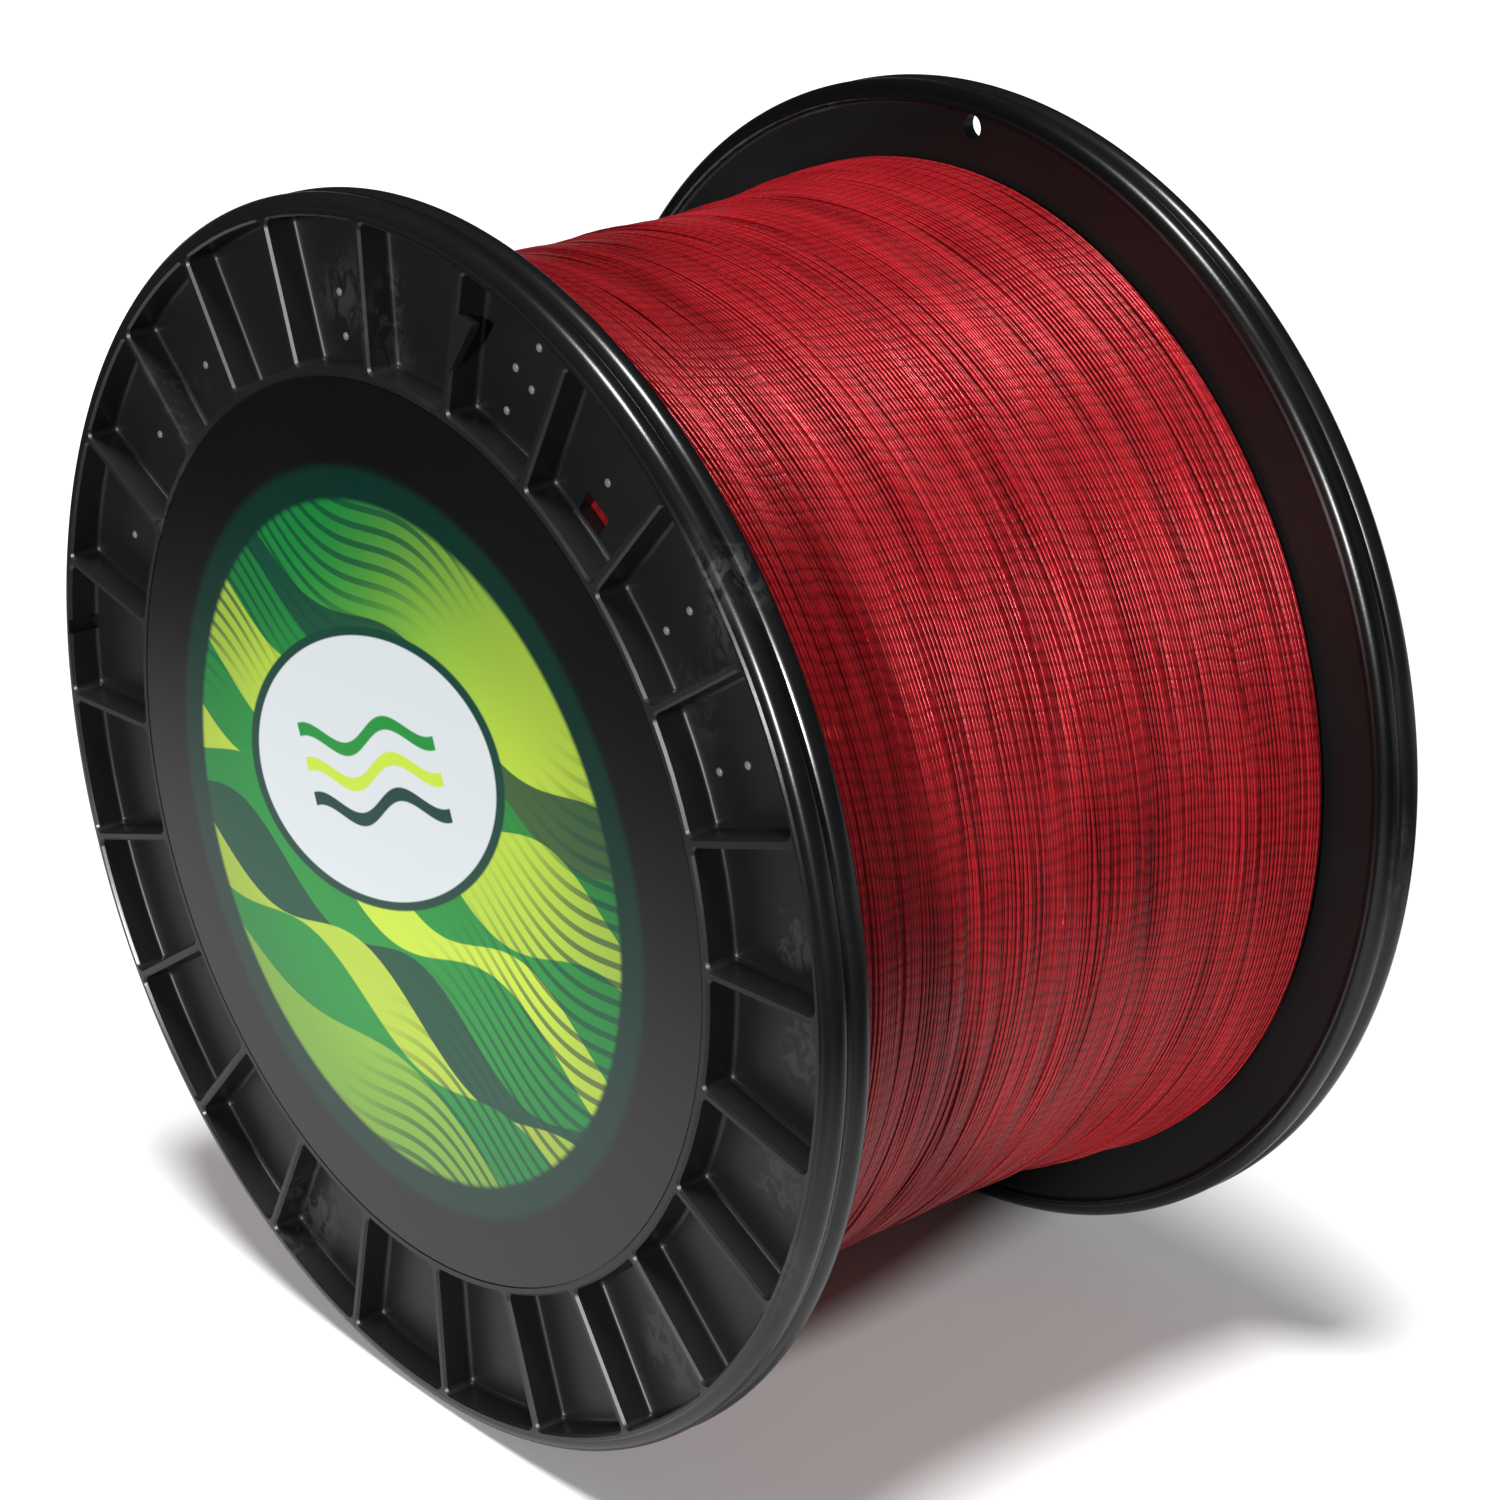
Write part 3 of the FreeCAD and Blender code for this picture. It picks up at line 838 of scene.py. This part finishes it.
class Winding:
    """The uneven surface that all layers of the wound line follow."""

    def __init__(self):
        self.line = settings("line")
        self.noise = {key: Unevenness(self.line.seed + later, cell, turn_cells, PACK_HALF)
                      for key, (later, cell, turn_cells) in WINDING_NOISE.items()}

    def uneven(self, key, y, turn):
        """One layer of the winding's noise, from -1 to 1."""
        return self.noise[key].at(y, turn)

    def sink(self, y, turn):
        """How far the winding lies below its full radius."""
        slanted = y + self.uneven("lean", y, turn) * LEAN
        broad = self.uneven("broad", slanted, turn) * BROAD_LIFT
        ridges = self.uneven("ridges", slanted, turn) * RIDGE_LIFT
        fine = self.uneven("fine", slanted, turn) * FINE_LIFT
        return MEAN_SINK - broad - ridges - fine - swell(y, turn)

    def groove(self, y, turn):
        """How much deeper a place lies than those beside it, from -1 to 1."""
        before = self.sink(y - GROOVE_REACH, turn)
        after = self.sink(y + GROOVE_REACH, turn)
        dips = (self.sink(y, turn) - (before + after) / 2) / GROOVE_DEPTH
        return np.clip(dips + self.uneven("single", y, turn) * GROOVE_SINGLE, -1.0, 1.0)

    def coil(self, name, start, turns, pitch):
        """An even helical tube of so many turns, from a circle and the screw modifier."""
        line = self.line
        radius = line.diameter / 2
        clear_selection()
        bpy.ops.mesh.primitive_circle_add(vertices=line.sides, radius=radius,
                                          location=(WOUND_RADIUS - radius, start, 0))
        obj = named(name)
        settle(obj)
        screw = obj.modifiers.new("Turns", "SCREW")
        screw.axis = "Y"
        screw.angle = 2 * math.pi
        screw.iterations = turns
        screw.steps = line.steps
        screw.render_steps = line.steps
        screw.screw_offset = pitch
        screw.use_smooth_shade = True
        apply_modifiers(obj)
        return obj

    def layer(self, name, depth, start, turns, pitch, ends=(True, True), hide=0.0):
        """A run of turns that follows the winding. Its first and last end dive where ends says so,
        and stretches of it sink by up to the distance of hide."""
        line = self.line
        obj = self.coil(name, start, turns, pitch)
        count = len(obj.data.vertices) // line.sides
        ring = np.arange(line.sides) * 2 * math.pi / line.sides
        out = -np.sin(ring)
        along = np.cos(ring)
        step = np.arange(count)
        turn = -step * 2 * math.pi / line.steps
        y = start - pitch * turn / (2 * math.pi)
        groove = self.groove(y, turn)
        single = self.uneven("single", y, turn)
        cover = self.uneven("cover", y, turn) * COVER_CONTRAST + COVER_SHARE
        sink = depth + self.sink(y, turn)
        sink = sink + single * SINGLE_SINK + np.maximum(single - DEEP_FROM, 0.0) * DEEP_SINK
        sink = sink + hide * np.clip(cover, 0.0, 1.0)
        for dives, gap in zip(ends, (step, step[::-1])):
            if dives:
                sink = sink + np.clip(1.0 - gap / END_STEPS, 0.0, 1.0) * line.diameter * END_DIVE
        y = y + self.uneven("wander", y, turn) * WANDER
        radius = line.diameter / 2
        height = radius * line.flatness
        middle = WOUND_RADIUS - height - np.maximum(sink, -swell(y, turn))
        r = middle[:, None] + height * out[None, :]
        places = np.stack([r * np.cos(turn)[:, None], y[:, None] + radius * along[None, :],
                           r * np.sin(turn)[:, None]], axis=-1)
        move_vertices(obj, places.reshape(-1, 3))
        # groove goes to the braid's finish, which paints shade where the winding dips
        for key, values in (("across", np.tile(along, count)),
                            ("groove", np.repeat(groove, line.sides))):
            attribute = obj.data.attributes.new(key, "FLOAT", "POINT")
            attribute.data.foreach_set("value", values.astype(np.float32))
        self.close_ends(obj)
        return obj

    def close_ends(self, obj):
        """Close the tube's open ends."""
        choose(obj)
        bpy.ops.object.mode_set(mode="EDIT")
        bpy.ops.mesh.select_all(action="SELECT")
        bpy.ops.mesh.fill_holes(sides=self.line.sides)
        bpy.ops.mesh.normals_make_consistent(inside=False)
        bpy.ops.object.mode_set(mode="OBJECT")


def core_of_winding():
    """The inner layers as one ring of line, spun from its section."""
    low = BARREL_RADIUS + CORE_GAP
    top = WOUND_RADIUS - CORE_DEPTH
    profile = [(low, PACK_HALF), (low, -PACK_HALF)]
    for k in range(CORE_STEPS + 1):
        y = -PACK_HALF + 2 * PACK_HALF * k / CORE_STEPS
        profile.append((top + CORE_SWELL * float(swell(y, 0.0)), y))
    return spun("wound_inner_layers", profile, CORE_ROUND)


# Details of the flanges

def rim_beads(name, facing):
    """The two rounded beads of a rim and the groove between them, a hair proud of the moulding."""
    low = FLANGE_RADIUS - BEAD_RADIUS
    first = BEAD_SHOULDER + BEAD_RADIUS
    last = RIM_WIDTH - first
    rise = math.asin((last - first - GROOVE_WIDTH) / 2 / BEAD_RADIUS)
    profile = []
    reach = BEAD_RADIUS + BEAD_PROUD
    for centre, start, end in ((first, -math.pi / 2, rise), (last, -rise, math.pi / 2)):
        for k in range(BEAD_STEPS + 1):
            way = start + (end - start) * k / BEAD_STEPS
            profile.append((low + reach * math.cos(way), centre + reach * math.sin(way)))
    inner = low - BEAD_WALL
    profile += [(inner, RIM_WIDTH - BEAD_SIDE), (inner, BEAD_SIDE)]
    return spun(name, [(r, facing * (HALF_WIDTH - depth)) for r, depth in profile], RIM_STEPS)


def ejector_pips(name, facing):
    """Low domes that the ejector pins leave on the pocket floors."""
    plastic = settings("plastic")
    clear_selection()
    bpy.ops.mesh.primitive_uv_sphere_add(segments=12, ring_count=8, radius=plastic.pip_radius)
    first = bpy.context.object
    first.scale = (1.0, plastic.pip_height / plastic.pip_radius, 1.0)
    settle(first)
    bpy.ops.object.shade_smooth()
    pieces = []
    for pocket, radius, offset in PIPS:
        dome = first.copy()
        dome.data = first.data.copy()
        bpy.context.collection.objects.link(dome)
        turn = RIB_TURN + RIB_PITCH * (pocket + 0.5) + math.degrees(offset / radius)
        dome.location = on_flange(facing, radius * MM, turn, POCKET_DEPTH)
        pieces.append(dome)
    bpy.data.objects.remove(first)
    return joined(pieces, name)


class SPOOL_OT_flanges(bpy.types.Operator):
    """Finish both flange mouldings, round their rims' beads and add the ejector pips"""
    bl_idname = "spool.flanges"
    bl_label = "Flanges"

    def execute(self, context):
        pips = pip_black("pip_plastic")
        for side, facing in (("front", -1.0), ("rear", 1.0)):
            finish = moulded_black(side + "_plastic", facing)
            dress(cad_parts[side + "_flange"], finish)
            finish_piece(rim_beads(side + "_rim_beads", facing), "black_plastic", finish)
            finish_piece(ejector_pips(side + "_ejector_pips", facing), "black_plastic", pips)
        return {"FINISHED"}


class SPOOL_OT_tubes(bpy.types.Operator):
    """Finish the arbor tube and the barrel tube"""
    bl_idname = "spool.tubes"
    bl_label = "Tubes"

    def execute(self, context):
        finish = tube_black("tube_plastic")
        for node in ("arbor_tube", "barrel_tube"):
            dress(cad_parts[node], finish)
        return {"FINISHED"}


class SPOOL_OT_label(bpy.types.Operator):
    """Print the label on the front hub"""
    bl_idname = "spool.label"
    bl_label = "Label"

    def execute(self, context):
        dress(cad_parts["front_label"], printed_label("label_print"))
        return {"FINISHED"}


class SPOOL_OT_winding(bpy.types.Operator):
    """Wind the line: the inner layers, an under and a top layer, and turns that lie across"""
    bl_idname = "spool.winding"
    bl_label = "Winding"

    def execute(self, context):
        line = settings("line")
        winding = Winding()
        top = braid("braid_top", 1.0)
        # The under layer and the inner layers take a darker copy of the braid: painted shade
        # beneath the top layer
        under = braid("braid_under_shaded", UNDER_PAINTED_SHADE)
        reach = PACK_HALF - END_ROOM - line.diameter / 2
        turns = int(2 * reach / line.pitch)
        half = turns // 2
        for name, depth, finish, sign in (("wound_top", 0.0, top, 1),
                                          ("wound_under", UNDER_DEPTH, under, -1)):
            for part, begin, count in (("a", 0, half), ("b", half, turns - half)):
                start = sign * (begin * line.pitch - reach)
                obj = winding.layer(name + "_" + part, depth, start, count, sign * line.pitch,
                                    ends=(begin == 0, begin > 0))
                finish_piece(obj, "braided_line", finish, "line_outer_turns")
        for name, pitch in (("wound_across_a", line.wrap_pitch),
                            ("wound_across_b", SECOND_ACROSS * line.wrap_pitch)):
            start = -math.copysign(reach, pitch)
            obj = winding.layer(name, -ACROSS_PROUD, start, int(2 * reach / abs(pitch)), pitch,
                                hide=ACROSS_SINK)
            finish_piece(obj, "braided_line", top, "line_outer_turns")
        # The inner layers use the darker copy of the braid, with its painted shade
        finish_piece(core_of_winding(), "braided_line", under, "line_pack")
        return {"FINISHED"}


class SPOOL_OT_stage(bpy.types.Operator):
    """Set up the floor, the studio lights, the room light and the camera"""
    bl_idname = "spool.stage"
    bl_label = "Stage"

    def execute(self, context):
        stage = settings("stage")
        clear_selection()
        bpy.ops.mesh.primitive_plane_add(size=stage.floor_size, location=(0, 0, CAD_BOX[0][2]))
        floor = named("floor")
        settle(floor)
        dress(floor, floor_finish("floor_finish"))
        self.light("overhead_light", OVERHEAD_WAY, OVERHEAD_WIDTH, stage.overhead)
        self.light("side_light", SIDE_WAY, SIDE_WIDTH, stage.side)
        self.camera()
        context.scene.world = room_light("room")
        context.scene.view_settings.view_transform = "Standard"
        return {"FINISHED"}

    def light(self, name, direction, width, strength):
        """A soft, distant light from a direction, as wide as so many degrees."""
        way = Vector(direction).normalized()
        bpy.ops.object.light_add(type="SUN", location=way)
        lamp = bpy.context.object
        lamp.name = name
        lamp.data.angle = math.radians(width)
        lamp.data.energy = strength
        lamp.rotation_euler = way.to_track_quat("Z", "Y").to_euler()

    def camera(self):
        """The photograph's own viewpoint."""
        bpy.ops.object.camera_add(location=CAMERA_PLACE)
        eye = bpy.context.object
        eye.name = "camera"
        ahead = Vector(CAMERA_AHEAD).normalized()
        right = Vector(CAMERA_RIGHT).normalized()
        above = right.cross(ahead).normalized()
        turn = Matrix((right, above, -ahead)).transposed()
        eye.rotation_euler = turn.to_euler()
        eye.data.lens = CAMERA_LENS
        eye.data.sensor_width = CAMERA_SENSOR
        eye.data.clip_start = CAMERA_NEAR
        bpy.context.scene.camera = eye


class SPOOL_PT_panel(bpy.types.Panel):
    """Buttons for each group of pieces"""
    bl_label = "Fishing Line Spool"
    bl_space_type = "VIEW_3D"
    bl_region_type = "UI"
    bl_category = "Spool"

    def draw(self, context):
        for operator in OPERATORS:
            self.layout.operator(operator.bl_idname)


GROUPS = {
    "line": SpoolLineSettings,
    "plastic": SpoolPlasticSettings,
    "label": SpoolLabelSettings,
    "stage": SpoolStageSettings,
}
OPERATORS = (SPOOL_OT_flanges, SPOOL_OT_tubes, SPOOL_OT_label, SPOOL_OT_winding, SPOOL_OT_stage)


def register():
    for group in GROUPS.values():
        bpy.utils.register_class(group)
    for operator in OPERATORS:
        bpy.utils.register_class(operator)
    bpy.utils.register_class(SPOOL_PT_panel)
    for name, group in GROUPS.items():
        setattr(bpy.types.Scene, "spool_" + name, bpy.props.PointerProperty(type=group))


def unregister():
    for name in GROUPS:
        delattr(bpy.types.Scene, "spool_" + name)
    bpy.utils.unregister_class(SPOOL_PT_panel)
    for operator in reversed(OPERATORS):
        bpy.utils.unregister_class(operator)
    for group in reversed(GROUPS.values()):
        bpy.utils.unregister_class(group)


def main():
    register()
    bpy.ops.spool.flanges()
    bpy.ops.spool.tubes()
    bpy.ops.spool.label()
    bpy.ops.spool.winding()
    bpy.ops.spool.stage()


if __name__ == "__main__":
    main()
